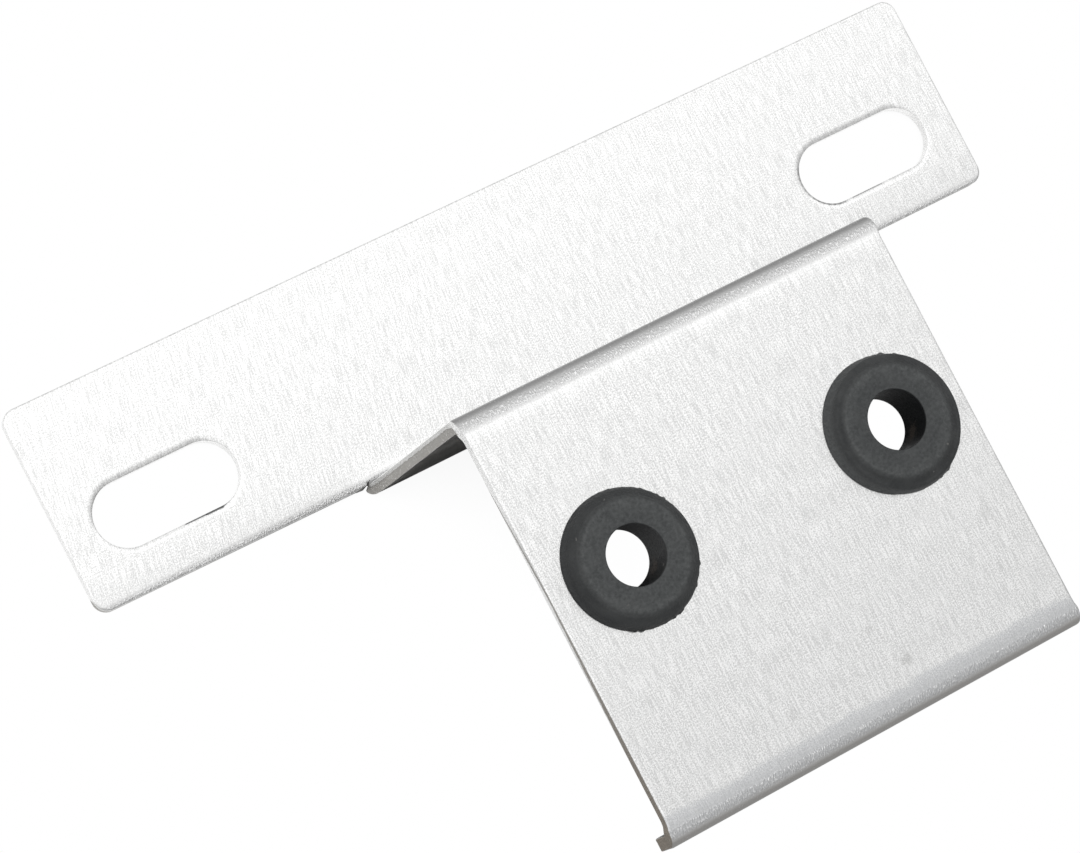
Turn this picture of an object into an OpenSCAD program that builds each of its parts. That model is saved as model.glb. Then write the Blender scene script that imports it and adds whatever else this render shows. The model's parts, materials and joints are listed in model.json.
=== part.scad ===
// Coolant bottle bracket: one folded aluminium sheet that carries two rubber grommets.
// Millimetres. The origin is the middle of the two slots, on the strip's mounting face,
// with X along the strip and Z out of the mounting face, towards the front plate.

/* [Sheet] */
// Thickness of the sheet
sheet_t = 1.8; // [1:0.1:2.5]
// Inside radius of every bend
bend_r = 0.6; // [0.4:0.1:2]

/* [Mounting strip] */
// Length of the strip
strip_len = 146.5; // [120:0.5:220]
// Height of the strip, from its free lower edge to its top edge
strip_h = 30; // [24:0.5:50]
// Radius of the strip's four corners
corner_r = 2; // [0.5:0.5:8]
// How far the free lower edge hangs past the line where the bend starts
edge_overhang = 0.45; // [0:0.05:1]
// Width of the relief cut at each end of the bend
relief_w = 0.5; // [0.3:0.1:3]
// How far the relief cut goes past the line where the bend starts
relief_over = 0.1; // [0.1:0.1:2]

/* [Slots] */
// Distance from each end of the strip to the middle of its slot
slot_inset = 15.6; // [14:0.1:30]
// Length of a slot from end to end
slot_len = 21.5; // [12:0.5:24]
// Width of a slot
slot_w = 9.4; // [5:0.1:11]
// Height of the slots' middle above the strip's free lower edge
slot_rise = 10.7; // [8:0.1:15]

/* [Web and front plate] */
// Distance from the mounting face to the front of the plate
stand_off = 47; // [20:1:100]
// Width of the web, the front plate and the lip
plate_w = 63.5; // [60:0.5:110]
// How far the plate's middle lies to the right of the slots' middle
plate_shift = 0.3; // [-6:0.1:6]
// Height of the front plate over both of its bends
plate_h = 60.2; // [52:0.1:120]
// Depth of the lip, from the front of the plate to the lip's edge
lip_depth = 6.6; // [5:0.1:20]

/* [Grommets] */
// Distance between the two grommets
grommet_pitch = 40; // [26:1:40]
// Distance from the top of the front plate down to the grommets' middle
grommet_drop = 25.7; // [16:0.1:36]
// Outside diameter of a grommet's two collars
collar_d = 18.4; // [16:0.2:19.6]
// Thickness of the collar in front of the plate
front_collar_t = 2.8; // [2:0.1:6]
// Thickness of the collar behind the plate
rear_collar_t = 2.7; // [2:0.1:6]
// Radius of the rounded shoulder on each collar
shoulder_r = 1.9; // [0.4:0.1:1.9]
// Diameter of the bore
bore_d = 8; // [4:0.2:9]
// Diameter of the plate's hole for a grommet
hole_d = 12.5; // [11:0.1:14]
// Clearance between a grommet's neck and the edge of its hole
neck_clearance = 0.1; // [0.05:0.05:0.3]

/* [Hidden] */
$fn = 96;

// Outside radius of every bend
outer_r = bend_r + sheet_t;
// Distance between the middles of the two slots
slot_pitch = strip_len - 2 * slot_inset;
// Free lower edge of the strip, and the line where the web's bend starts
strip_low = -slot_rise;
bend_line = strip_low + edge_overhang;
// Upper face of the web, which is level with the top of the front plate
plate_top = bend_line - bend_r;
// Height, along Z, of the centres of the two bends beside the front plate
upper_centre_z = stand_off - outer_r;
// Place, along Y, of the centres of the bends above and below the front plate
top_centre_y = plate_top - outer_r;
low_centre_y = plate_top - plate_h + outer_r;
// Left end of the web and of the plate
plate_left = plate_shift - plate_w / 2;
plate_back = stand_off - sheet_t;
// Middle of a grommet's hole on the plate's back face, to the left for side -1 and to the right for 1
function grommet_seat(side) = [plate_shift + side * grommet_pitch / 2, plate_top - grommet_drop, plate_back];
// Overlap where the web's section runs into the strip, and how far a cut runs past its face
lap = 1;
past = 1;

module rounded_rectangle(width, height, radius) {
    for (x = [radius, width - radius], y = [radius, height - radius]) {
        translate([x, y]) circle(r = radius);
    }
    translate([radius, 0]) square([width - 2 * radius, height]);
    translate([0, radius]) square([width, height - 2 * radius]);
}

module slot(length, width) {
    straight = length - width;
    for (x = [-straight / 2, straight / 2]) {
        translate([x, 0]) circle(d = width);
    }
    translate([-straight / 2, -width / 2]) square([straight, width]);
}

// Outline of the mounting strip, open where the web leaves its lower edge
module strip_outline() {
    difference() {
        translate([-strip_len / 2, strip_low]) rounded_rectangle(strip_len, strip_h, corner_r);
        for (x = [-slot_pitch / 2, slot_pitch / 2]) {
            translate([x, 0]) slot(slot_len, slot_w);
        }
        translate([plate_left, strip_low - past]) square([plate_w, past + edge_overhang]);
        for (x = [plate_left - relief_w, plate_left + plate_w]) {
            translate([x, strip_low - past]) square([relief_w, past + edge_overhang + relief_over]);
        }
    }
}

// Quarter of a disc, on the side of its centre that the signs side_x and side_y point to
module quarter(radius, side_x, side_y) {
    intersection() {
        circle(r = radius);
        translate([min(side_x, 0) * radius, min(side_y, 0) * radius]) square(radius);
    }
}

// Section of a quarter bend about its centre, with Y across and Z up
module bend(centre_y, centre_z, side_y, side_z) {
    translate([centre_y, centre_z]) difference() {
        quarter(outer_r, side_y, side_z);
        circle(r = bend_r);
    }
}

// Section of the folded sheet below the strip, with Y across and Z up
module fold_section() {
    translate([bend_line, 0]) square([lap, sheet_t]);
    bend(bend_line, outer_r, -1, -1);
    translate([plate_top - sheet_t, outer_r]) square([sheet_t, upper_centre_z - outer_r]);
    bend(top_centre_y, upper_centre_z, 1, 1);
    translate([low_centre_y, plate_back]) square([top_centre_y - low_centre_y, sheet_t]);
    bend(low_centre_y, upper_centre_z, -1, 1);
    translate([low_centre_y - outer_r, stand_off - lip_depth]) square([sheet_t, lip_depth - outer_r]);
}

module bracket() {
    color("gainsboro") difference() {
        union() {
            linear_extrude(sheet_t) strip_outline();
            translate([plate_left, 0, 0]) rotate([90, 0, 90]) linear_extrude(plate_w) fold_section();
        }
        for (side = [-1, 1]) {
            translate(grommet_seat(side)) translate([0, 0, -past]) cylinder(h = sheet_t + 2 * past, d = hole_d);
        }
    }
}

// Section of one collar, rising from the sheet, with a rounded shoulder at its free edge
module collar(thickness) {
    radius = collar_d / 2;
    square([radius - shoulder_r, thickness]);
    square([radius, thickness - shoulder_r]);
    translate([radius - shoulder_r, thickness - shoulder_r]) quarter(shoulder_r, 1, 1);
}

// One grommet: two collars joined by a neck that fills the hole, with the bore through all three
module grommet(side) {
    neck_r = hole_d / 2 - neck_clearance;
    length = rear_collar_t + sheet_t + front_collar_t;
    color("dimgray") translate(grommet_seat(side)) rotate_extrude() difference() {
        union() {
            translate([0, sheet_t]) collar(front_collar_t);
            square([neck_r, sheet_t]);
            mirror([0, 1]) collar(rear_collar_t);
        }
        translate([0, -rear_collar_t - past]) square([bore_d / 2, length + 2 * past]);
    }
}

module left_grommet() {
    grommet(-1);
}

module right_grommet() {
    grommet(1);
}

bracket();
left_grommet();
right_grommet();
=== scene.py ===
"""Coolant bottle bracket: one brushed aluminium sheet, folded three times, with two rubber grommets.

Sizes are in millimetres while a piece is made, and its mesh is scaled to metres when it is finished.
The sheet is made flat, as it is cut, and then folded along a line worked out from its bends.
"""

import json
import math
import random

import bmesh
import bpy
import numpy as np
from mathutils import Matrix, Vector


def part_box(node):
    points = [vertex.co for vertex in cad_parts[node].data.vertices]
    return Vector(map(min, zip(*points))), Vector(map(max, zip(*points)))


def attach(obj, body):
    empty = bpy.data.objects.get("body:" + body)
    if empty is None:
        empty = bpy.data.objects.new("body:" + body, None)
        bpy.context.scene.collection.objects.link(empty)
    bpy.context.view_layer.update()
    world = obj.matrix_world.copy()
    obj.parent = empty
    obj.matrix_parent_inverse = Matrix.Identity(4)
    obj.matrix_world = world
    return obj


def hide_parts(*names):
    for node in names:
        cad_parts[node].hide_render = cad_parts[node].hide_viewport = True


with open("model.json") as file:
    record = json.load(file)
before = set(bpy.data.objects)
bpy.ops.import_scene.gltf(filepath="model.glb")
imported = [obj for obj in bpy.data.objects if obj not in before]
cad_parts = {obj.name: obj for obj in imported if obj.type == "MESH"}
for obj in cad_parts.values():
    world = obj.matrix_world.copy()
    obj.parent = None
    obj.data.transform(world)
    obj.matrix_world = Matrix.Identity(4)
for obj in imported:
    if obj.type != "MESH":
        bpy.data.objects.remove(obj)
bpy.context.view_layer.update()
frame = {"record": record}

MM = 0.001
# Distance in millimetres within which two places count as one
TOUCH = 0.001

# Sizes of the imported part
bracket_low, bracket_high = (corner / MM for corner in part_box("bracket"))
mounts = {mount["name"]: mount for mount in frame["record"]["mounts"]}
slot_sizes = mounts["slots"]["dims"]
slot_x = slot_sizes["spacing_x_mm"] / 2
slot_length = slot_sizes["slot_length_mm"]
slot_r = slot_sizes["hole_r_mm"]
bore_r = mounts["left_grommet_bore"]["dims"]["r_mm"]
strip_left, strip_right = bracket_low.x, bracket_high.x
strip_top = bracket_high.y
stand_off = bracket_high.z
lip_front = bracket_low.y

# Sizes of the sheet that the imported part's box doesn't give
sheet_t = 1.8
bend_r = 0.6
strip_low = -10.7
corner_r = 2
edge_overhang = 0.45
relief_w = 0.5
relief_over = 0.1
plate_w = 63.5
plate_shift = 0.3
lip_depth = 6.6
hole_r = 6.25
plate_left = plate_shift - plate_w / 2
plate_right = plate_shift + plate_w / 2
bend_line = strip_low + edge_overhang

# A bend starts and ends softly: it turns by soft_turn over soft_run before and after its tight part
soft_run = 2.5
soft_turn = math.radians(3.5)
tight_r = bend_r + sheet_t / 2
tight_run = tight_r * (math.pi / 2 - 2 * soft_turn)
bend_run = tight_run + 2 * soft_run


def turned(run):
    """Angle that a bend has turned through at each distance from its start."""
    entry = np.clip(run / soft_run, 0, 1)
    tight = np.clip((run - soft_run) / tight_run, 0, 1)
    leaving = np.clip((run - soft_run - tight_run) / soft_run, 0, 1)
    return soft_turn * (entry**2 + 1 - (1 - leaving) ** 2) + (math.pi / 2 - 2 * soft_turn) * tight


# How far before its corner a bend starts
bend_parts = 800
bend_steps = (np.arange(bend_parts) + 0.5) / bend_parts * bend_run
bend_reach = float(np.mean(np.cos(turned(bend_steps)))) * bend_run

# Corners of the folded sheet's middle line
web_y = bend_line - tight_r
plate_z = stand_off - sheet_t / 2
lip_y = lip_front + sheet_t / 2
# Where each bend starts and the sheet ends, as runs down that line from the bend line
first_bend = tight_r - bend_reach
second_bend = first_bend + bend_run + (plate_z - sheet_t / 2) - 2 * bend_reach
third_bend = second_bend + bend_run + (web_y - lip_y) - 2 * bend_reach
blank_run = third_bend + bend_run + (plate_z - (stand_off - lip_depth)) - bend_reach
bends = [(first_bend, 1), (second_bend, -1), (third_bend, -1)]
blank_end = bend_line - blank_run


def on_plate(y):
    """Height on the flat blank of a height on the front plate."""
    return bend_line - (second_bend + bend_run + web_y - bend_reach - y)


def on_run(y):
    """Run along the middle line of a height on the front plate."""
    return bend_line - on_plate(y)


def smooth_share(share):
    """A share held between none and one, with soft ends."""
    share = min(max(share, 0), 1)
    return share * share * (3 - 2 * share)


def sizes_of_grommet(node):
    """Centre, lowest and highest point and outside radius of a grommet."""
    low, high = (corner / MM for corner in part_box(node))
    return (low + high) / 2, low.z, high.z, (high.x - low.x) / 2


left_centre = sizes_of_grommet("left_grommet")[0]
right_centre = sizes_of_grommet("right_grommet")[0]


def make_camera():
    """The photograph's place and angle of view."""
    place = Vector((-169.63, -38.59, 462.11)) * MM
    target = Vector((-14.274, -15.523, 25)) * MM
    turn = math.radians(-27.514)
    forward = (target - place).normalized()
    level_right = forward.cross(Vector((0, 1, 0))).normalized()
    level_up = level_right.cross(forward)
    data = bpy.data.cameras.new("camera")
    data.sensor_fit = "HORIZONTAL"
    data.sensor_width = 36
    data.lens = 117.18
    data.clip_start = 0.01
    data.clip_end = 20
    camera = bpy.data.objects.new("camera", data)
    level = Matrix((level_right, level_up, -forward)).transposed()
    camera.matrix_world = Matrix.Translation(place) @ (level @ Matrix.Rotation(turn, 3, "Z")).to_4x4()
    bpy.context.scene.collection.objects.link(camera)
    bpy.context.scene.camera = camera


# Node helpers
def new_group(name, inputs, outputs):
    """A shader node group with these named sockets, and its input and output nodes' sockets."""
    tree = bpy.data.node_groups.new(name, "ShaderNodeTree")
    for label, kind, value in inputs:
        socket = tree.interface.new_socket(name=label, in_out="INPUT", socket_type="NodeSocket" + kind)
        if value is not None:
            socket.default_value = value
    for label in outputs:
        tree.interface.new_socket(name=label, in_out="OUTPUT", socket_type="NodeSocketFloat")
    return tree, tree.nodes.new("NodeGroupInput").outputs, tree.nodes.new("NodeGroupOutput").inputs


def plug(tree, socket, value):
    """Joins a socket to another node's output, or sets its value."""
    if isinstance(value, bpy.types.NodeSocket):
        tree.links.new(value, socket)
    elif value is not None:
        socket.default_value = value


def maths(tree, operation, *values, clamp=False):
    node = tree.nodes.new("ShaderNodeMath")
    node.operation = operation
    node.use_clamp = clamp
    for socket, value in zip(node.inputs, values):
        plug(tree, socket, value)
    return node.outputs[0]


def times(tree, first, second):
    return maths(tree, "MULTIPLY", first, second)


def plus(tree, first, second):
    return maths(tree, "ADD", first, second)


def less(tree, first, second):
    """The first value less the second."""
    return maths(tree, "SUBTRACT", first, second)


def vector(tree, operation, *values):
    node = tree.nodes.new("ShaderNodeVectorMath")
    node.operation = operation
    for socket, value in zip(node.inputs, values):
        plug(tree, socket, value)
    return node.outputs["Value"] if operation in ("LENGTH", "DISTANCE", "DOT_PRODUCT") else node.outputs[0]


def noise(tree, place, scale, detail=2.0, roughness=0.5):
    node = tree.nodes.new("ShaderNodeTexNoise")
    plug(tree, node.inputs["Vector"], place)
    node.inputs["Scale"].default_value = scale
    node.inputs["Detail"].default_value = detail
    node.inputs["Roughness"].default_value = roughness
    return node.outputs["Fac"]


def ramp(tree, value, low, high, to_low=0.0, to_high=1.0, smooth=False):
    """A value's stretch from low to high, mapped to to_low to to_high and held there."""
    node = tree.nodes.new("ShaderNodeMapRange")
    node.interpolation_type = "SMOOTHSTEP" if smooth else "LINEAR"
    settings = {"Value": value, "From Min": low, "From Max": high, "To Min": to_low, "To Max": to_high}
    for label, setting in settings.items():
        plug(tree, node.inputs[label], setting)
    return node.outputs["Result"]


def mix_colour(tree, share, first, second):
    node = tree.nodes.new("ShaderNodeMix")
    node.data_type = "RGBA"
    plug(tree, node.inputs["Factor"], share)
    plug(tree, node.inputs[6], first)
    plug(tree, node.inputs[7], second)
    return node.outputs[2]


def separated(tree, place):
    """The X, Y and Z of a place or a direction."""
    node = tree.nodes.new("ShaderNodeSeparateXYZ")
    plug(tree, node.inputs[0], place)
    return node.outputs


def place_group(tree, group, **settings):
    """Puts a node group in a material. An underscore in a setting's name stands for a space."""
    node = tree.nodes.new("ShaderNodeGroup")
    node.node_tree = group
    for label, value in settings.items():
        plug(tree, node.inputs[label.replace("_", " ").capitalize()], value)
    return node.outputs


# Colours of the brushed front
dark_streak = (0.68, 0.682, 0.678, 1)
bright_streak = (0.985, 0.985, 0.98, 1)
# Painted shade on the bends: brownish on the lower bend, grey to dark grey on the others
bend_brown_shade = (0.68, 0.61, 0.50, 1)
bend_grey_shade = (0.45, 0.45, 0.45, 1)
bend_dark_shade = (0.28, 0.28, 0.28, 1)
# Painted bluish-grey shade from where the last bend starts
bend_blue_shade = (0.55, 0.565, 0.59, 1)
cracked_bend = (0.60, 0.605, 0.61, 1)
# Painted glint colour, for the specks and sparkle on the front
glint = (1, 1, 1, 1)
smudge_grey = (0.25, 0.25, 0.24, 1)
# Colours of the cut edges
# The burnished part of the cut edge, as a painted shaded grey copy and a painted lit white copy
burnish_shaded_grey = (0.67, 0.67, 0.66, 1)
burnish_lit_white = (0.98, 0.98, 0.975, 1)
tear_line = (0.34, 0.33, 0.315, 1)
torn_metal = (0.43, 0.42, 0.40, 1)
torn_blotch = (0.33, 0.315, 0.295, 1)
torn_speck = (0.95, 0.95, 0.94, 1)
# Painted brownish shade on the torn part of the cut edge, growing down the plate
torn_brown_shade = (0.43, 0.37, 0.30, 1)
# Painted shade on the left arm's lower edge beside the web
edge_web_shade = (0.10, 0.10, 0.095, 1)
# Colours of the rubber
# The rubber in painted shaded and lit copies: darkest on walls, lighter on slopes, lightest facing forward
rubber_wall_shade = (0.009, 0.010, 0.011, 1)
rubber_slope_shade = (0.034, 0.036, 0.037, 1)
rubber_face_lit = (0.063, 0.067, 0.068, 1)
rubber_worn = (0.026, 0.028, 0.029, 1)
# Painted highlight on the crest, painted sheen on the brow, and dust on the face
collar_dust_and_sheen = (0.13, 0.135, 0.135, 1)
cloud_dust = (0.095, 0.098, 0.098, 1)
bore_brown_patch = (0.115, 0.095, 0.08, 1)
pale_fleck = (0.30, 0.29, 0.27, 1)

# Place, radius and strength of each smudge on the front plate
smudges = [(7.4, -64.3, 0.9, 0.30), (26.85, -52.5, 1.1, 0.14), (-9.9, -63.5, 0.9, 0.12),
           (4.6, -58.5, 0.8, 0.12)]
# Start, end, width, strength and grey of each scratch, on the flat blank
scratches = [
    ((65.7, -8.05), (65.6, -9.6), 0.12, 0.9, 1.0),
    ((12.0, on_plate(-62.3)), (18.0, on_plate(-59.6)), 0.1, 0.25, 1.0),
    ((25.8, 7.1), (25.8, 11.1), 0.15, 0.12, 0.5),
    ((plate_left, -9.88), (plate_right, -9.88), 0.09, 0.25, 0.5),
]


def rim_arc(slot_side, end_side, first, last, width, strength, tone):
    """A line just outside one end of a slot, from one angle to another, in short straight pieces."""
    outside = 0.12
    pieces = 6
    reach = slot_r + outside
    middle = slot_side * slot_x + end_side * (slot_length / 2 - slot_r)
    angles = [math.radians(first + (last - first) * step / pieces) for step in range(pieces + 1)]
    places = [(middle + reach * math.cos(angle), reach * math.sin(angle)) for angle in angles]
    return [(start, end, width, strength, tone) for start, end in zip(places, places[1:])]


# Start, end, width, strength and grey of each dark line along the slots' rims
rim_lines = [
    ((-57.2, -4.78), (-54.0, -4.82), 0.16, 0.85, 0.1),
    ((-54.0, -4.82), (-51.6, -4.84), 0.24, 0.9, 0.08),
    ((-51.6, -4.84), (-49.6, -4.1), 0.22, 0.8, 0.1),
    ((53.0, -4.8), (58.0, -4.8), 0.14, 0.6, 0.2),
    # These arcs are a painted shadow: a dark crescent just outside the right slot's left end
    *rim_arc(1, -1, 150, 210, 0.36, 0.45, 0.3),
    *rim_arc(1, -1, 210, 270, 0.26, 0.6, 0.2),
]
# Middles and radius of the lighter brownish patches on the bores' walls
bore_patches = [(-16.5, -38.9, 45.0), (23.4, -38.9, 45.2)]
bore_patch_r = 1.5


# Effects that the materials are built from
def stretched(tree, place, across, along):
    """A place measured in cells of this width and length."""
    scale = tree.nodes.new("ShaderNodeCombineXYZ")
    plug(tree, scale.inputs["X"], maths(tree, "DIVIDE", 1.0, across))
    plug(tree, scale.inputs["Y"], maths(tree, "DIVIDE", 1.0, along))
    plug(tree, scale.inputs["Z"], maths(tree, "DIVIDE", 1.0, across))
    return vector(tree, "MULTIPLY", place, scale.outputs[0])


def brushed_grain_group():
    """Short and long streaks of a brushed finish, strong and weak in patches, and sparse bright specks."""
    inputs = [("Place", "Vector", None), ("Streak width", "Float", 0.00016),
              ("Streak length", "Float", 0.003), ("Patch size", "Float", 0.006)]
    tree, given, out = new_group("brushed grain", inputs, ["Streaks", "Patches", "Specks"])
    place, width, length, patch = (given[label] for label, _, _ in inputs)
    short = noise(tree, stretched(tree, place, width, times(tree, length, 0.075)), 1.0, 0.0)
    long = noise(tree, stretched(tree, place, times(tree, width, 1.2), length), 1.0, 1.0)
    patches = ramp(tree, noise(tree, stretched(tree, place, patch, patch), 1.0, 2.0), 0.3, 0.7)
    streaks = plus(tree, times(tree, short, 0.53), times(tree, long, 0.47))
    centred = times(tree, less(tree, streaks, 0.5), ramp(tree, patches, 0.0, 1.0, 3.2, 5.0))
    plug(tree, out["Streaks"], maths(tree, "ADD", centred, 0.5, clamp=True))
    plug(tree, out["Patches"], patches)
    specks = noise(tree, stretched(tree, place, 0.00016, 0.00022), 1.0, 0.0)
    plug(tree, out["Specks"], ramp(tree, specks, 0.72, 0.80))
    return tree


def smudge_group():
    """A soft round mark with a broken edge."""
    inputs = [("Place", "Vector", None), ("Centre", "Vector", None), ("Radius", "Float", 0.001)]
    tree, given, out = new_group("smudge", inputs, ["Mark"])
    place, centre, radius = (given[label] for label, _, _ in inputs)
    far = maths(tree, "DIVIDE", vector(tree, "DISTANCE", place, centre), radius)
    ragged = plus(tree, far, ramp(tree, noise(tree, place, 1600.0, 3.0), 0.3, 0.7, -0.45, 0.45))
    plug(tree, out["Mark"], ramp(tree, ragged, 0.25, 1.25, 1.0, 0.0, smooth=True))
    return tree


def scratch_group():
    """A thin scratch from one place to another, broken along its length unless it is to be unbroken."""
    inputs = [("Place", "Vector", None), ("Start", "Vector", None), ("End", "Vector", None),
              ("Width", "Float", 0.0001), ("Unbroken", "Float", 0.0)]
    tree, given, out = new_group("scratch", inputs, ["Mark"])
    place, start, end, width, unbroken = (given[label] for label, _, _ in inputs)
    along = vector(tree, "SUBTRACT", end, start)
    reach = vector(tree, "SUBTRACT", place, start)
    share = maths(tree, "DIVIDE", vector(tree, "DOT_PRODUCT", reach, along),
                  vector(tree, "DOT_PRODUCT", along, along), clamp=True)
    nearest = tree.nodes.new("ShaderNodeVectorMath")
    nearest.operation = "SCALE"
    plug(tree, nearest.inputs[0], along)
    plug(tree, nearest.inputs["Scale"], share)
    far = maths(tree, "DIVIDE", vector(tree, "DISTANCE", reach, nearest.outputs[0]), width)
    broken = maths(tree, "MAXIMUM", ramp(tree, noise(tree, place, 900.0, 2.0), 0.35, 0.5), unbroken)
    plug(tree, out["Mark"], times(tree, ramp(tree, far, 0.4, 1.0, 1.0, 0.0, smooth=True), broken))
    return tree


def mottle_group():
    """Fine mottle of moulded rubber, broad clouds of dust, and sparse pale flecks."""
    inputs = [("Place", "Vector", None), ("Grain size", "Float", 0.0002), ("Fleck size", "Float", 0.0006)]
    tree, given, out = new_group("rubber mottle", inputs, ["Mottle", "Cloud", "Flecks"])
    place, grain_size, fleck_size = (given[label] for label, _, _ in inputs)
    fine = noise(tree, stretched(tree, place, grain_size, grain_size), 0.5, 2.0)
    plug(tree, out["Mottle"], ramp(tree, fine, 0.3, 0.7))
    plug(tree, out["Cloud"], ramp(tree, noise(tree, place, 420.0, 3.0), 0.35, 0.65))
    flecks = noise(tree, stretched(tree, place, fleck_size, fleck_size), 0.6, 1.0)
    plug(tree, out["Flecks"], ramp(tree, flecks, 0.76, 0.84))
    return tree


def new_material(name):
    """A material, its node tree and its Principled shader."""
    material = bpy.data.materials.new(name)
    material.use_nodes = True
    return material, material.node_tree, material.node_tree.nodes["Principled BSDF"]


def add_bump(tree, shader, height, distance):
    bump = tree.nodes.new("ShaderNodeBump")
    bump.inputs["Strength"].default_value = 1.0
    bump.inputs["Distance"].default_value = distance
    plug(tree, bump.inputs["Height"], height)
    plug(tree, shader.inputs["Normal"], bump.outputs["Normal"])


def sheet_place(tree):
    """Place on the flat blank, which the sheet's UV map keeps in metres."""
    node = tree.nodes.new("ShaderNodeUVMap")
    node.uv_map = "sheet"
    return node.outputs[0]


def object_place(tree):
    return tree.nodes.new("ShaderNodeTexCoord").outputs["Object"]


def attribute(tree, name):
    node = tree.nodes.new("ShaderNodeAttribute")
    node.attribute_name = name
    return node.outputs["Fac"]


def leaning(tree, place):
    """The sheet's places, sheared so that the brushing leans to the right on the strip's left half."""
    parts = separated(tree, place)
    lean = ramp(tree, parts["X"], -0.02, 0.005, 0.17, 0.0, smooth=True)
    height = maths(tree, "MAXIMUM", parts["Y"], bend_line * MM)
    joined = tree.nodes.new("ShaderNodeCombineXYZ")
    plug(tree, joined.inputs["X"], less(tree, parts["X"], times(tree, height, lean)))
    plug(tree, joined.inputs["Y"], parts["Y"])
    return joined.outputs[0]


def add_smudges(tree, colour, place, smudge):
    """Darkens a colour where the front plate is smudged."""
    marks = 0.0
    for x, y, radius, strength in smudges:
        centre = (x * MM, on_plate(y) * MM, 0)
        mark = place_group(tree, smudge, place=place, centre=centre, radius=radius * MM)[0]
        marks = plus(tree, marks, times(tree, mark, strength))
    return mix_colour(tree, marks, colour, smudge_grey)


def add_lines(tree, colour, place, scratch, lines, unbroken):
    """Draws scratches or dark rims over a colour."""
    for start, end, width, strength, tone in lines:
        first, last = ((x * MM, y * MM, 0) for x, y in (start, end))
        mark = place_group(tree, scratch, place=place, start=first, end=last, width=width * MM,
                           unbroken=unbroken)[0]
        colour = mix_colour(tree, times(tree, mark, strength), colour, (tone, tone, tone, 1))
    return colour


def brushed_aluminium(grain, smudge, scratch):
    """Front of the sheet: bright, brushed up and down the plate, with painted shade and painted glints on the
    bends.

    The attributes "bend" and "tilt" say where the sheet is bent and how steeply. One more says how much
    painted brownish shade the lower part of the sheet takes, and another where painted bluish-grey shade
    starts at the last bend.
    """
    material, tree, shader = new_material("brushed aluminium")
    place = sheet_place(tree)
    grained = place_group(tree, grain, place=leaning(tree, place))
    streaks = grained["Streaks"]
    bend, tilt, brown_shade = attribute(tree, "bend"), attribute(tree, "tilt"), attribute(tree, "brown_shade")
    contrast = less(tree, 1.0, times(tree, bend, 0.65))
    faded = plus(tree, times(tree, less(tree, streaks, 0.5), contrast), 0.5)
    colour = mix_colour(tree, faded, dark_streak, bright_streak)

    # Painted shade on the bends, darker where they lean more steeply: brownish on the lower bend, grey on the
    # others
    brown_shade_share = times(tree, ramp(tree, tilt, 0.25, 0.55, 0.0, 0.5, smooth=True), brown_shade)
    colour = mix_colour(tree, brown_shade_share, colour, bend_brown_shade)
    no_brown_shade = less(tree, 1.0, brown_shade)
    grey_shade_share = times(tree, ramp(tree, bend, 0.3, 0.8, 0.0, 0.43, smooth=True), no_brown_shade)
    colour = mix_colour(tree, grey_shade_share, colour, bend_grey_shade)
    dark_shade_share = times(tree, ramp(tree, tilt, 0.36, 0.8, 0.0, 0.65, smooth=True), no_brown_shade)
    colour = mix_colour(tree, dark_shade_share, colour, bend_dark_shade)
    # Painted bluish-grey shade from where the last bend starts, with a ragged border
    border = ramp(tree, noise(tree, place, 420.0, 2.0), 0.3, 0.7, -0.15, 0.15)
    squeezed = plus(tree, attribute(tree, "last_bend_shade"), border)
    last_bend_shade = ramp(tree, squeezed, 0.12, 0.5, 0.0, 0.42, smooth=True)
    colour = mix_colour(tree, last_bend_shade, colour, bend_blue_shade)

    crystals = noise(tree, stretched(tree, place, 0.00017, 0.0003), 1.0, 1.0, 0.6)
    cracked = times(tree, ramp(tree, tilt, 0.02, 0.08), ramp(tree, tilt, 0.34, 0.46, 1.0, 0.0))
    colour = mix_colour(tree, times(tree, cracked, 0.1), colour, cracked_bend)
    # Painted glints: sparse bright specks over the front, and sparkle on the crumpled parts of the bends
    sparkle = times(tree, ramp(tree, crystals, 0.57, 0.63), cracked)
    shine = maths(tree, "MAXIMUM", times(tree, grained["Specks"], 0.7), sparkle)
    colour = mix_colour(tree, shine, colour, glint)

    colour = add_smudges(tree, colour, place, smudge)
    colour = add_lines(tree, colour, place, scratch, scratches, 0.0)
    colour = add_lines(tree, colour, place, scratch, rim_lines, 1.0)
    plug(tree, shader.inputs["Base Color"], colour)
    shader.inputs["Metallic"].default_value = 1
    rough = plus(tree, ramp(tree, streaks, 0.0, 1.0, 0.30, 0.26), times(tree, bend, 0.08))
    plug(tree, shader.inputs["Roughness"], rough)
    shader.inputs["Anisotropic"].default_value = 0.8
    tangent = tree.nodes.new("ShaderNodeTangent")
    tangent.direction_type = "UV_MAP"
    tangent.uv_map = "sheet"
    plug(tree, shader.inputs["Tangent"], tangent.outputs[0])
    raised = times(tree, times(tree, less(tree, crystals, 0.5), cracked), 40.0)
    add_bump(tree, shader, plus(tree, streaks, raised), 0.000004)
    return material


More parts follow.
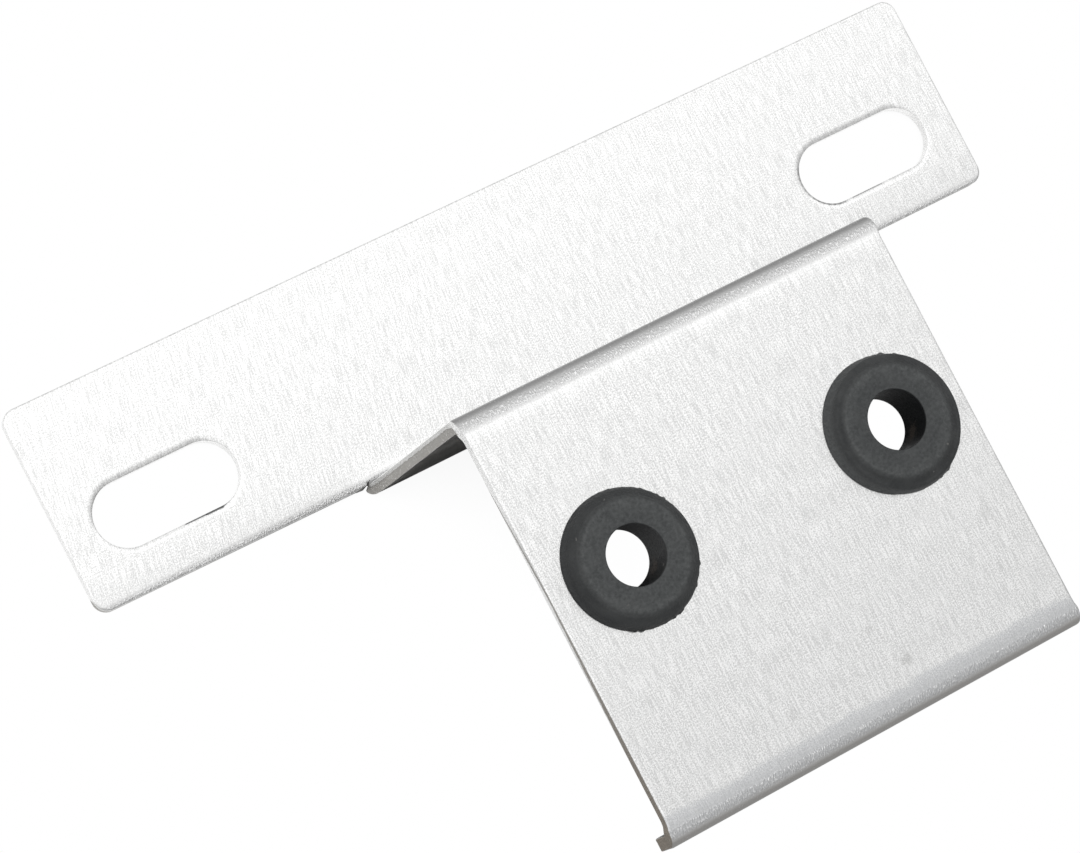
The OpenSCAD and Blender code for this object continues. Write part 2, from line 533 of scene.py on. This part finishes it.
def cut_metal(grain):
    """Cut edges: burnished near the front face, then a thin dark line, then torn and mottled to the back.

    The attribute "depth" runs from the front face to the back, and "burnish" says how deep the burnished part
    reaches; it also picks a grey copy of that part, as painted shade, or a white one, as a painted highlight.
    "pale" says how much of the back is painted white, as a painted highlight. One more attribute gives the
    torn part's painted brownish shade, and another the painted shade that darkens the whole edge beside the
    web.
    """
    material, tree, shader = new_material("cut aluminium")
    place = object_place(tree)
    grained = place_group(tree, grain, place=place, streak_width=0.0003, streak_length=0.0003)
    streaks = grained["Streaks"]
    burnish = attribute(tree, "burnish")
    waves = ramp(tree, noise(tree, place, 700.0, 2.0), 0.3, 0.7, -0.05, 0.05)
    depth = plus(tree, attribute(tree, "depth"), waves)
    past = less(tree, depth, burnish)
    torn = ramp(tree, past, -0.02, 0.02)
    past_line = ramp(tree, past, 0.07, 0.11)
    # The burnished part: grey on the web, as painted shade, and white at the bends and high on the plate, as
    # a painted highlight
    colour = mix_colour(tree, ramp(tree, burnish, 0.33, 0.8), burnish_shaded_grey, burnish_lit_white)
    colour = mix_colour(tree, torn, colour, tear_line)
    colour = mix_colour(tree, past_line, colour, torn_metal)

    blotches = ramp(tree, noise(tree, place, 1900.0, 2.0, 0.6), 0.35, 0.65)
    mottle_share = ramp(tree, torn, 0.0, 1.0, 0.06, 0.5)
    mottled = times(tree, maths(tree, "MAXIMUM", streaks, blotches), mottle_share)
    colour = mix_colour(tree, mottled, colour, torn_blotch)
    colour = mix_colour(tree, times(tree, grained["Specks"], torn), colour, torn_speck)
    # Painted brownish shade on the torn part, growing down the plate
    brown_shade_share = times(tree, times(tree, attribute(tree, "brown_shade"), torn), 0.65)
    colour = mix_colour(tree, brown_shade_share, colour, torn_brown_shade)
    # Painted highlight: the back of the plate's cut edge is painted white high on the plate
    from_back = plus(tree, less(tree, depth, 1.0), attribute(tree, "pale"))
    colour = mix_colour(tree, ramp(tree, from_back, -0.04, 0.06), colour, burnish_lit_white)
    # Painted shade darkening the left arm's lower edge beside the web
    colour = mix_colour(tree, attribute(tree, "web_shade"), colour, edge_web_shade)

    plug(tree, shader.inputs["Base Color"], colour)
    shader.inputs["Metallic"].default_value = 1
    plug(tree, shader.inputs["Roughness"], ramp(tree, torn, 0.0, 1.0, 0.26, 0.5))
    add_bump(tree, shader, streaks, 0.00002)
    return material


def plain_back(grain):
    """Back of the sheet, as rolled: duller and a little warmer than the brushed front."""
    material, tree, shader = new_material("rolled aluminium back")
    grained = place_group(tree, grain, place=sheet_place(tree), streak_width=0.0003, streak_length=0.006)
    streaks = grained["Streaks"]
    colour = mix_colour(tree, streaks, (0.66, 0.65, 0.63, 1), (0.76, 0.75, 0.73, 1))
    plug(tree, shader.inputs["Base Color"], colour)
    shader.inputs["Metallic"].default_value = 1
    plug(tree, shader.inputs["Roughness"], ramp(tree, grained["Patches"], 0.0, 1.0, 0.36, 0.44))
    add_bump(tree, shader, streaks, 0.000003)
    return material


def moulded_rubber(mottle, smudge):
    """Matt charcoal rubber with a few pale flecks: painted shade by which way it faces, darkest in its bore,
    with dust on its face, a painted highlight on its crest and painted sheen on its brow.

    The attribute "crest" says how much painted highlight and sheen the front collar holds, and how much dust
    its face holds.
    """
    material, tree, shader = new_material("moulded rubber")
    place = object_place(tree)
    fine, cloud, flecks = place_group(tree, mottle, place=place)
    facing = separated(tree, tree.nodes.new("ShaderNodeNewGeometry").outputs["Normal"])
    # Painted shade by which way the rubber faces: darkest on walls and in the bore, lighter on slopes,
    # lightest on the front face
    upward = ramp(tree, facing["Z"], 0.1, 0.8)
    colour = mix_colour(tree, upward, rubber_wall_shade, rubber_slope_shade)
    colour = mix_colour(tree, ramp(tree, facing["Z"], 0.9, 0.99), colour, rubber_face_lit)
    # Painted highlight on the crest and painted sheen on the brow, with dust on the face
    colour = mix_colour(tree, times(tree, attribute(tree, "crest"), 0.4), colour, collar_dust_and_sheen)
    worn = times(tree, times(tree, fine, upward), 0.6)
    colour = mix_colour(tree, worn, colour, rubber_worn)
    dusty = times(tree, times(tree, cloud, upward), 0.25)
    colour = mix_colour(tree, dusty, colour, cloud_dust)
    for middle in bore_patches:
        centre = [size * MM for size in middle]
        mark = place_group(tree, smudge, place=place, centre=centre, radius=bore_patch_r * MM)[0]
        colour = mix_colour(tree, times(tree, mark, 0.5), colour, bore_brown_patch)
    colour = mix_colour(tree, times(tree, flecks, 0.6), colour, pale_fleck)
    plug(tree, shader.inputs["Base Color"], colour)
    plug(tree, shader.inputs["Roughness"], ramp(tree, fine, 0.0, 1.0, 0.52, 0.64))
    shader.inputs["Specular IOR Level"].default_value = 0.3
    add_bump(tree, shader, fine, 0.00006)
    return material


def finish_piece(bm, name, node, materials):
    """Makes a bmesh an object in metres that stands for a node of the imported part."""
    bmesh.ops.transform(bm, matrix=Matrix.Scale(MM, 4), verts=bm.verts)
    bmesh.ops.recalc_face_normals(bm, faces=bm.faces)
    for face in bm.faces:
        face.smooth = True
    mesh = bpy.data.meshes.new(name)
    bm.to_mesh(mesh)
    bm.free()
    for material in materials:
        mesh.materials.append(material)
    piece = bpy.data.objects.new(name, mesh)
    bpy.context.scene.collection.objects.link(piece)
    weighted = piece.modifiers.new("even shading", "WEIGHTED_NORMAL")
    weighted.keep_sharp = False
    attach(piece, "root")
    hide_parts(node)
    return piece


# The sheet
FRONT, EDGE, BACK = range(3)
# Width and depth of the rollover that the punch left on the front face, round the outline and the slots
outline_roll = (0.33, 0.15)
slot_roll = (0.9, 0.2)
# How much flatter the rollover is at a slot's right end, and over what length it becomes so
flatter_end = 0.75
flatter_run = 3
# How far from a slot's outline a point may lie and still belong to its rim
rim_reach = 2
# Radius of the back face's worn edges
back_burr = 0.12
# How far the left arm's lower edge lies below the right one's, and how much further it drops towards the web
left_arm_drop = 0.06
left_arm_slope = 0.35
# Top of the relief cut on the left
left_relief_y = -10.75
# Places along the left arm's lower edge, how much painted shade it takes and how steeply it is rolled over at
# each, and how far above and below the edge that holds
shade_and_roll_x = (strip_left + corner_r, -60, -48, -38)
shade_and_roll_shares = (0, 0.35, 0.8, 1)
shade_and_roll_reach = 1
darkest_web_shade = 0.95
# Radii of the lip's two free corners
lip_left_r = 0.9
lip_right_r = 1.5
# Height at which the arms' front face starts to fall away, how far it has fallen at their lower edge, and the
# distance from the web over which it comes to do so
droop_y = -5.5
droop = 0.07
droop_run = 5
# How far beside the web the strip is drawn down with the first bend, and by what share of it
drawn_w = 3
drawn_share = 0.35
# How far a bend's ends stand out, how far in from the end that fades, and over what run it starts below the
# strip
bulge = 0.35
bulge_fade = 2.0
bulge_start = 0.6
# Share of the bulge halfway through the sheet, and how much its squeezed face and its stretched face differ
bulge_middle = 0.8
bulge_skew = 0.4
# How far the web's base stands out at both ends, how high up it does, and over what depth it starts
base_bulge = 0.8
base_h = 3.0
base_start = 0.8
# How far the lip's ends stand out, over what run they come to do so, and how far before the last bend's end
# that starts
lip_bulge = 0.35
lip_start = 2.5
lip_lead = 1
# How far before a bend's tight part its metal starts to change, and over what run it does
change_lead = 1.0
change_run = 1.3
# Runs along the folded sheet's sides, and the depth to which the cut edge is burnished there, which also
# paints the burnished part grey, as painted shade, on the web, and white, as a painted highlight, at the
# bends and high on the plate
burnish_runs = (first_bend, first_bend + 1, second_bend, second_bend + bend_run,
                on_run(-28), on_run(-32), on_run(-60))
burnish_depths = (1.3, 0.33, 0.33, 1.2, 1.1, 0.05, -0.2)
# Runs along the plate's sides, and the share of the cut edge at the back that is painted white there, as a
# painted highlight
painted_white_runs = (on_run(-27), on_run(-29), on_run(-33), on_run(-50), on_run(-62))
painted_white_shares = (-0.2, 0.9, 0.75, 0.2, -0.1)
# Height on the plate at which painted brownish shade starts, and over what run it comes to full strength
brown_shade_y = -34
brown_shade_run = 20


def left_arm_low(x):
    """Lower edge of the strip's left arm."""
    share = (x - strip_left - corner_r) / (plate_left - relief_w - strip_left - corner_r)
    return strip_low - left_arm_drop - left_arm_slope * max(share, 0)


def add_panel(bm, corners):
    """One flat panel of the blank, from its corners in turn."""
    bm.faces.new([bm.verts.new((x, y, 0)) for x, y in corners])


def round_corners(bm, corners, radius, steps):
    """Rounds the blank's corners that lie at these places."""
    picked = [v for v in bm.verts if any((v.co.xy - Vector(corner)).length < TOUCH for corner in corners)]
    bmesh.ops.bevel(bm, geom=picked, offset=radius, segments=steps, profile=0.5, affect="VERTICES",
                    material=-1)


def cut_blank():
    """The flat sheet with its slots, holes and relief cuts, in panels that meet at the holes' middles.

    Slots and holes are cut square here, and their corners are then rounded until they are round.
    """
    bm = bmesh.new()
    half_slot = slot_length / 2
    slot_in = slot_x - half_slot
    hole_y = on_plate(left_centre.y)
    relief_y = bend_line + relief_over
    left_notch = plate_left - relief_w
    right_notch = plate_right + relief_w
    arms = ((-1, strip_left, left_arm_low(strip_left), left_arm_low(-slot_x)),
            (1, strip_right, strip_low, strip_low))
    for side, end, low_end, low_middle in arms:
        middle = side * slot_x
        slot_end = middle + side * half_slot
        add_panel(bm, [(end, strip_top), (end, low_end), (middle, low_middle), (middle, -slot_r),
                       (slot_end, -slot_r), (slot_end, slot_r), (middle, slot_r), (middle, strip_top)])
    holes = [(centre.x - hole_r, centre.x + hole_r) for centre in (left_centre, right_centre)]
    upper = [(x, y) for low, high in holes for x, y in
             ((low, hole_y), (low, hole_y + hole_r), (high, hole_y + hole_r), (high, hole_y))]
    lower = [(x, 2 * hole_y - y) for x, y in upper]
    left_part = [(-slot_x, strip_top), (-slot_x, slot_r), (-slot_in, slot_r), (-slot_in, -slot_r),
                 (-slot_x, -slot_r), (-slot_x, left_arm_low(-slot_x)), (left_notch, left_arm_low(left_notch)),
                 (left_notch, left_relief_y), (plate_left, left_relief_y), (plate_left, hole_y)]
    right_part = [(plate_right, hole_y), (plate_right, relief_y), (right_notch, relief_y),
                  (right_notch, strip_low), (slot_x, strip_low), (slot_x, -slot_r), (slot_in, -slot_r),
                  (slot_in, slot_r), (slot_x, slot_r), (slot_x, strip_top)]
    add_panel(bm, left_part + upper + right_part)
    add_panel(bm, [(plate_left, hole_y), *lower, (plate_right, hole_y), (plate_right, blank_end),
                   (plate_left, blank_end)])
    strip_corners = ((strip_left, left_arm_low(strip_left)), (strip_left, strip_top),
                     (strip_right, strip_low), (strip_right, strip_top))
    round_corners(bm, strip_corners, corner_r, 8)
    round_corners(bm, [(plate_left, blank_end)], lip_left_r, 4)
    round_corners(bm, [(plate_right, blank_end)], lip_right_r, 6)
    slot_ends = [side * (slot_x + way * half_slot) for side in (-1, 1) for way in (-1, 1)]
    round_corners(bm, [(x, y) for x in slot_ends for y in (-slot_r, slot_r)], slot_r, 16)
    hole_corners = [(x, hole_y + way * hole_r) for low, high in holes for x in (low, high) for way in (-1, 1)]
    round_corners(bm, hole_corners, hole_r, 16)
    bmesh.ops.remove_doubles(bm, verts=bm.verts, dist=TOUCH)
    bmesh.ops.recalc_face_normals(bm, faces=bm.faces)
    return bm


def near_web(x, y):
    """One on the left arm's lower edge beside the web, and less towards the arm's free end."""
    if abs(y - strip_low) > shade_and_roll_reach or x > plate_left - relief_w / 2:
        return 0
    return float(np.interp(x, shade_and_roll_x, shade_and_roll_shares))


def at_right_end(x, y):
    """One at a slot's right end, and none along its straight sides."""
    reach = slot_r + rim_reach
    for middle in (-slot_x, slot_x):
        past = x - middle - (slot_length / 2 - slot_r)
        if 0 < past < reach and abs(y) < reach:
            return smooth_share(past / flatter_run)
    return 0


def beside_slot(edge):
    """Whether an edge of the blank lies on a slot's outline."""
    reach = slot_length / 2 + TOUCH
    return all(abs(abs(v.co.x) - slot_x) < reach and abs(v.co.y) < slot_r + TOUCH for v in edge.verts)


def roll_over(bm, rims, width, depth):
    """Rounds rims of the front face over a broad, shallow curve."""
    made = bmesh.ops.bevel(bm, geom=rims, offset=width, segments=8, profile=0.5, affect="EDGES", material=-1)
    for vert in made["verts"]:
        fallen = min(max(sheet_t - vert.co.z, 0), width)
        steeper = 1 + near_web(*vert.co.xy) - flatter_end * at_right_end(*vert.co.xy)
        vert.co.z = sheet_t - fallen * depth * steeper / width


def thicken(bm):
    """Gives the blank its thickness, up to its front face, and rounds its cut edges."""
    for face in bm.faces:
        if face.normal.z < 0:
            face.normal_flip()
    grown = bmesh.ops.extrude_face_region(bm, geom=bm.faces[:], use_keep_orig=True)
    raised = [part for part in grown["geom"] if isinstance(part, bmesh.types.BMVert)]
    bmesh.ops.translate(bm, vec=(0, 0, sheet_t), verts=raised)
    bmesh.ops.recalc_face_normals(bm, faces=bm.faces)
    rims = [e for e in bm.edges if len(e.link_faces) == 2 and e.calc_face_angle() > math.radians(60)
            and any(abs(f.normal.z) > 0.9 for f in e.link_faces)]
    front = [e for e in rims if e.verts[0].co.z > sheet_t / 2]
    back = [e for e in rims if e.verts[0].co.z < sheet_t / 2]
    at_slot = [e for e in front if beside_slot(e)]
    at_outline = [e for e in front if e not in at_slot]
    bmesh.ops.bevel(bm, geom=back, offset=back_burr, segments=2, profile=0.5, affect="EDGES", material=-1)
    roll_over(bm, at_outline, *outline_roll)
    roll_over(bm, at_slot, *slot_roll)
    bm.normal_update()
    for face in bm.faces:
        face.material_index = FRONT if face.normal.z > 0.5 else BACK if face.normal.z < -0.5 else EDGE


def cut_across(bm, place, normal):
    """Cuts every face along a plane, and keeps both sides."""
    everything = bm.verts[:] + bm.edges[:] + bm.faces[:]
    bmesh.ops.bisect_plane(bm, geom=everything, plane_co=place, plane_no=normal, dist=TOUCH / 10)


def cut_for_folding(bm):
    """Gives the blank the points that fold() moves: along its bends, beside the web and on the arms."""
    soft_cuts, tight_cuts, side_cuts, droop_cuts = 4, 14, 4, 4
    tight_end = soft_run + tight_run
    for start, _ in bends:
        stops = np.concatenate([np.linspace(0, soft_run, soft_cuts + 1),
                                np.linspace(soft_run, tight_end, tight_cuts + 1)[1:],
                                np.linspace(tight_end, bend_run, soft_cuts + 1)[1:]])
        for stop in stops:
            cut_across(bm, (0, bend_line - start - stop, 0), (0, 1, 0))
    for step in range(1, side_cuts + 1):
        share = step / side_cuts
        for x in (plate_left - drawn_w * share, plate_right + drawn_w * share,
                  plate_left + bulge_fade * share, plate_right - bulge_fade * share):
            cut_across(bm, (x, 0, 0), (1, 0, 0))
    for step in range(droop_cuts):
        cut_across(bm, (0, droop_y + step / droop_cuts * (strip_low - droop_y), 0), (0, 1, 0))


def mark_metal(bm):
    """Keeps each point's place on the flat blank as a UV map, and how its metal looks and where light and
    shade are painted on it as attributes.
    """
    names = ("depth", "burnish", "web_shade", "pale", "last_bend_shade", "brown_shade")
    depth, burnish, web_shade, pale, last_bend_shade, brown_shade = (bm.verts.layers.float.new(name) for name in names)
    flat = bm.loops.layers.uv.new("sheet")
    for face in bm.faces:
        for loop in face.loops:
            loop[flat].uv = loop.vert.co.xy * MM
    for vert in bm.verts:
        run = bend_line - vert.co.y
        above = vert.co.z - sheet_t / 2
        vert[depth] = 0.5 - above / sheet_t
        # How deep the edge is burnished also picks its painted grey or white copy, and the back of the
        # plate's edge is painted white
        vert[burnish] = float(np.interp(run, burnish_runs, burnish_depths))
        vert[pale] = float(np.interp(run, painted_white_runs, painted_white_shares))
        # Painted shade on the left arm's lower edge beside the web
        vert[web_shade] = darkest_web_shade * near_web(*vert.co.xy)
        # Painted bluish-grey shade from where the last bend starts
        vert[last_bend_shade] = min(max((run - third_bend) / soft_run, 0), 1)
        # Painted brownish shade, growing down the plate
        vert[brown_shade] = smooth_share((run - on_run(brown_shade_y)) / brown_shade_run)


def folded_line():
    """The folded sheet's middle line: runs along it, and the heading, Y and Z at each."""
    step = 0.01
    middles = np.arange(first_bend + step / 2, blank_run + step, step)
    between = sum(sign * turned(middles - start) for start, sign in bends)
    runs = np.append(first_bend, middles + step / 2)
    heading = sum(sign * turned(runs - start) for start, sign in bends)
    line_y = bend_line - first_bend - step * np.append(0, np.cumsum(np.cos(between)))
    line_z = sheet_t / 2 + step * np.append(0, np.cumsum(np.sin(between)))
    return runs, heading, line_y, line_z


def folded_share(x):
    """Share of the fold that a point takes part in: all of it on the web, and less beside it."""
    outside = max(plate_left - x, x - plate_right, 0)
    beside = drawn_share * (1 - smooth_share(outside / drawn_w))
    return max(1 - outside / relief_w, 0) * (1 - drawn_share) + beside


def bulge_out(vert, run, above, inner, bent):
    """How far a folded point near the sheet's side stands out from it."""
    squeezed = bulge_skew * inner * above / sheet_t + bulge_middle
    out = bulge * squeezed * bent * smooth_share((run - edge_overhang) / bulge_start)
    out += lip_bulge * smooth_share((run - third_bend - bend_run + lip_lead) / lip_start)
    below_strip = smooth_share((left_relief_y - vert.co.y) / base_start)
    return out + base_bulge * smooth_share(1 - vert.co.z / base_h) * below_strip


def fold(bm):
    """Bends the flat blank along its middle line, and lets the arms' front faces fall away.

    The attribute "bend" is one where the sheet is bent tightly, and "tilt" is how steeply it leans there.
    """
    runs, heading, line_y, line_z = folded_line()
    curved = bm.verts.layers.float.new("bend")
    tilts = bm.verts.layers.float.new("tilt")
    for vert in bm.verts:
        run = bend_line - vert.co.y
        above = vert.co.z - sheet_t / 2
        if above > 0 and vert.co.y < droop_y:
            off_web = smooth_share((abs(vert.co.x - plate_shift) - plate_w / 2) / droop_run)
            vert.co.z -= droop * off_web * ((droop_y - vert.co.y) / (droop_y - strip_low)) ** 2
        if run < first_bend:
            continue
        # How far inside the tight part of the nearest bend, and which way that bend turns
        nearest, inner = max((min(run - start - soft_run, start + soft_run + tight_run - run), sign)
                             for start, sign in bends)
        vert[curved] = smooth_share((nearest + change_lead) / change_run)
        angle = float(np.interp(run, runs, heading))
        vert[tilts] = abs(angle) / (math.pi / 2) * vert[curved]
        y = float(np.interp(run, runs, line_y)) + math.sin(angle) * above
        z = float(np.interp(run, runs, line_z)) + math.cos(angle) * above
        share = folded_share(vert.co.x)
        vert.co.y += (y - vert.co.y) * share
        vert.co.z += (z - sheet_t / 2 - above) * share
        if run > edge_overhang:
            out = bulge_out(vert, run, above, inner, vert[curved])
            from_left, from_right = vert.co.x - plate_left, plate_right - vert.co.x
            if abs(from_left) < bulge_fade:
                vert.co.x -= out * (1 - smooth_share(from_left / bulge_fade))
            elif abs(from_right) < bulge_fade:
                vert.co.x += out * (1 - smooth_share(from_right / bulge_fade))


def make_sheet(materials):
    """The bracket: cut flat, thickened and folded."""
    bm = cut_blank()
    thicken(bm)
    cut_for_folding(bm)
    mark_metal(bm)
    fold(bm)
    return finish_piece(bm, "folded_sheet", "bracket", materials)


# The grommets
# Radii of the front collar's crest, groove and brow, and how far the groove, and the face between the crest
# and the bore, lie below the crest
crest_r = 7.35
groove_r = 8.2
brow_r = 8.9
groove_drop = 0.7
dish = 0.06
# Radii of the section's rounded corners
corner_rounds = {"shoulder": 1.9, "crest": 0.55, "groove": 0.3, "brow": 0.3, "lip": 0.15, "base": 0.1}
neck_clearance = 0.1
neck_r = hole_r - neck_clearance
# Height of the mould's parting line
parting = stand_off + 0.35
# Number of faces round a grommet
spin_steps = 240
# Number of teeth round a grommet, and how far they reach out of the parting line and into the bore's rear end
teeth = 120
flash = 0.2
rear_teeth = 0.2
# Share of the collar's unevenness that its foot on the plate has
foot_share = 0.25
# Depth of the dusty face, width of the painted highlight on the crest, how far inside the crest it lies, and
# width of the painted sheen on the brow
face_depth = 0.5
crest_w = 0.8
crest_in = 0.3
brow_w = 0.5
# How each grommet came out of its mould: how much wider its front collar is along X and Y, how far the
# collar, the bore and the bore's rear end lie off centre, how far the brow lies below the crest, how much
# painted sheen the brow holds and how much dust the face holds, and the seed of its teeth
left_moulding = {"grown": (-0.285, -0.05), "shift": (0.165, -0.12), "bore_shift": (0.12, 0.0),
                 "rear_shift": (0.12, 0.35), "brow_drop": 1.4, "brow_sheen": 0.2, "face_dust": 0.4, "seed": 3}
right_moulding = {"grown": (-0.225, 0.09), "shift": (0.765, -0.24), "bore_shift": (0.28, 0.05),
                  "rear_shift": (-0.05, 0.1), "brow_drop": 1.0, "brow_sheen": 1.3, "face_dust": 0.0, "seed": 8}


def spin_section(low, high, radius, brow_drop):
    """A grommet's section, with its corners rounded, spun about its axis."""
    front, back = stand_off, stand_off - sheet_t
    section = [(bore_r, low, "lip"), (radius, low, "shoulder"), (radius, back, "base"), (neck_r, back, None),
               (neck_r, front, None), (radius, front, "base"), (radius, parting, None),
               (brow_r, high - brow_drop, "brow"), (groove_r, high - groove_drop, "groove"),
               (crest_r, high, "crest"), ((crest_r + bore_r) / 2, high - dish, None), (bore_r, high, "lip")]
    bm = bmesh.new()
    verts = [bm.verts.new((r, 0, z)) for r, z, _ in section]
    bm.faces.new(verts)
    for vert, (_, _, kind) in zip(verts, section):
        if kind:
            steps = 8 if kind == "shoulder" else 4
            bmesh.ops.bevel(bm, geom=[vert], offset=corner_rounds[kind], segments=steps, profile=0.5,
                            affect="VERTICES", material=-1)
    bmesh.ops.remove_doubles(bm, verts=bm.verts, dist=TOUCH)
    bmesh.ops.delete(bm, geom=bm.faces[:], context="FACES_ONLY")
    bmesh.ops.spin(bm, geom=bm.verts[:] + bm.edges[:], cent=(0, 0, 0), axis=(0, 0, 1), angle=2 * math.pi,
                   steps=spin_steps, use_merge=True)
    bmesh.ops.remove_doubles(bm, verts=bm.verts, dist=TOUCH)
    return bm


def sheen_and_dust_over(bm, high, radius, brow_sheen, face_dust):
    """Keeps how much painted highlight and sheen, and dust on the face, each point of the front collar holds,
    as the attribute "crest".
    """
    crest = bm.verts.layers.float.new("crest")
    for vert in bm.verts:
        r = vert.co.xy.length
        if vert.co.z > high - face_depth:
            vert[crest] = max(1 - abs(r - crest_r + crest_in) / crest_w, face_dust)
        elif vert.co.z > stand_off - TOUCH:
            vert[crest] = brow_sheen * max(1 - (radius - r) / brow_w, 0)


def mould_unevenly(bm, low, high, radius, grown, shift, bore_shift, rear_shift, seed):
    """Leaves teeth at the parting line and the bore's rear end, and moves collar and bore off centre."""
    draw = random.Random(seed)
    wobble = [draw.uniform(0.0, 1.0) for _ in range(teeth)]
    for vert in bm.verts:
        r = vert.co.xy.length
        turn = (math.atan2(vert.co.y, vert.co.x) / (2 * math.pi)) % 1.0
        tooth = wobble[int(turn * teeth) % teeth]
        out = 0.0
        if abs(vert.co.z - parting) < TOUCH and r > radius - TOUCH:
            out = flash * tooth**3
        elif r < bore_r + corner_rounds["lip"] + TOUCH:
            depth = (high - vert.co.z) / (high - low)
            out = rear_teeth * (tooth - 0.5) if vert.co.z < low + TOUCH else 0.0
            vert.co.x += bore_shift[0] + rear_shift[0] * depth
            vert.co.y += bore_shift[1] + rear_shift[1] * depth
        vert.co.xy *= 1 + out / r
        if vert.co.z > stand_off - TOUCH and r > neck_r:
            share = (r - neck_r) / (radius - neck_r)
            if vert.co.z < parting - TOUCH:
                share *= foot_share
            vert.co.x *= 1 + grown[0] * share / r
            vert.co.y *= 1 + grown[1] * share / r
            vert.co.x += shift[0] * share
            vert.co.y += shift[1] * share


def make_grommet(name, node, materials, grown, shift, bore_shift, rear_shift, brow_drop, brow_sheen, face_dust,
                 seed):
    """A grommet, spun from its section. Its front collar is a little uneven, as it was moulded."""
    centre, low, high, radius = sizes_of_grommet(node)
    bm = spin_section(low, high, radius, brow_drop)
    sheen_and_dust_over(bm, high, radius, brow_sheen, face_dust)
    mould_unevenly(bm, low, high, radius, grown, shift, bore_shift, rear_shift, seed)
    bmesh.ops.translate(bm, vec=(centre.x, centre.y, 0), verts=bm.verts)
    return finish_piece(bm, name, node, materials)


# The floor and the light
def make_floor():
    """A plain floor, white to the camera and pale in the metal, which keeps the object's shadow."""
    below, half = -0.0002, 3.0
    bm = bmesh.new()
    bmesh.ops.create_grid(bm, x_segments=1, y_segments=1, size=half)
    bmesh.ops.translate(bm, vec=(0, 0, below), verts=bm.verts)
    mesh = bpy.data.meshes.new("floor")
    bm.to_mesh(mesh)
    bm.free()
    floor = bpy.data.objects.new("floor", mesh)
    bpy.context.scene.collection.objects.link(floor)
    mesh.materials.append(pale_floor())


def pale_floor():
    """White to the camera. In the metal it is shaded under the plate, and dimmer in front and behind."""
    material, tree, shader = new_material("pale floor")
    shader.inputs["Base Color"].default_value = (0.4, 0.4, 0.4, 1)
    shader.inputs["Roughness"].default_value = 1
    shader.inputs["Specular IOR Level"].default_value = 0
    path = tree.nodes.new("ShaderNodeLightPath").outputs
    shade = tree.nodes.new("ShaderNodeAmbientOcclusion")
    shade.inputs["Distance"].default_value = 0.08
    shade.samples = 16
    openness = shade.outputs["AO"]
    seen_by_camera = ramp(tree, openness, 0.1, 0.4, 0.85, 1.0)
    place = separated(tree, object_place(tree))
    # Painted shadow: in the metal the floor is darkened by place under the plate
    under_plate = times(tree, ramp(tree, place["Y"], -0.0112, -0.0106, 1.0, 0.0),
                        ramp(tree, place["X"], -0.034, -0.031))
    open_floor = ramp(tree, less(tree, openness, times(tree, under_plate, 0.5)), 0.06, 0.25)
    in_front = ramp(tree, place["Y"], -0.062, -0.038, 0.37, 1.0, smooth=True)
    behind = ramp(tree, place["Y"], 0.022, 0.035, 1.0, 0.55, smooth=True)
    seen_in_metal = times(tree, open_floor, times(tree, in_front, behind))
    level = tree.nodes.new("ShaderNodeMix")
    plug(tree, level.inputs["Factor"], path["Is Glossy Ray"])
    plug(tree, level.inputs[2], seen_by_camera)
    plug(tree, level.inputs[3], seen_in_metal)
    either = plus(tree, path["Is Camera Ray"], path["Is Transmission Ray"])
    seen = maths(tree, "ADD", either, path["Is Glossy Ray"], clamp=True)
    glow = tree.nodes.new("ShaderNodeEmission")
    plug(tree, glow.inputs["Strength"], level.outputs[0])
    blend = tree.nodes.new("ShaderNodeMixShader")
    plug(tree, blend.inputs["Fac"], seen)
    plug(tree, blend.inputs[1], shader.outputs[0])
    plug(tree, blend.inputs[2], glow.outputs[0])
    plug(tree, tree.nodes["Material Output"].inputs["Surface"], blend.outputs[0])
    return material


# Part of a direction along Y, from in front of the object to behind it, and the light's level there
tent_along = [(-1.0, 0.50), (-0.6, 0.64), (-0.36, 0.70), (-0.2, 0.65), (-0.12, 0.76), (-0.06, 0.87),
              (0.02, 1.04), (0.065, 1.125), (0.12, 1.29), (0.2, 1.48), (0.3, 1.25), (0.45, 1.06), (0.8, 0.86),
              (0.92, 0.72), (1.0, 0.55)]
# The same along X, from the left to the right
tent_across = [(-1.0, 0.9), (-0.6, 1.0), (-0.35, 1.2), (-0.05, 1.2), (0.2, 0.97), (0.5, 0.965), (0.8, 0.7),
               (1.0, 0.5)]


def level_ramp(tree, value, levels):
    """A value from -1 to 1, mapped through these levels."""
    node = tree.nodes.new("ShaderNodeValToRGB")
    plug(tree, node.inputs["Fac"], ramp(tree, value, -1.0, 1.0))
    brightest = max(level for _, level in levels)
    stops = node.color_ramp.elements
    while len(stops) < len(levels):
        stops.new(0.5)
    for stop, (place, level) in zip(stops, levels):
        stop.position = (place + 1) / 2
        stop.color = (level / brightest, level / brightest, level / brightest, 1)
    return times(tree, node.outputs["Color"], brightest)


def make_light():
    """A pale tent of light, brightest overhead and a little behind, and dimmer in front and to the right."""
    world = bpy.data.worlds.new("tent")
    bpy.context.scene.world = world
    world.use_nodes = True
    tree = world.node_tree
    direction = separated(tree, tree.nodes.new("ShaderNodeTexCoord").outputs["Generated"])
    along = level_ramp(tree, direction["Y"], tent_along)
    across = level_ramp(tree, direction["X"], tent_across)
    background = tree.nodes["Background"].inputs
    background["Color"].default_value = (1, 1, 1, 1)
    plug(tree, background["Strength"], times(tree, along, across))


make_camera()
grain = brushed_grain_group()
mottle = mottle_group()
smudge = smudge_group()
metals = [brushed_aluminium(grain, smudge, scratch_group()), cut_metal(grain), plain_back(grain)]
rubber = moulded_rubber(mottle, smudge)
make_sheet(metals)
make_grommet("left_rubber_grommet", "left_grommet", [rubber], **left_moulding)
make_grommet("right_rubber_grommet", "right_grommet", [rubber], **right_moulding)
make_floor()
make_light()
bpy.context.scene.view_settings.view_transform = "Standard"
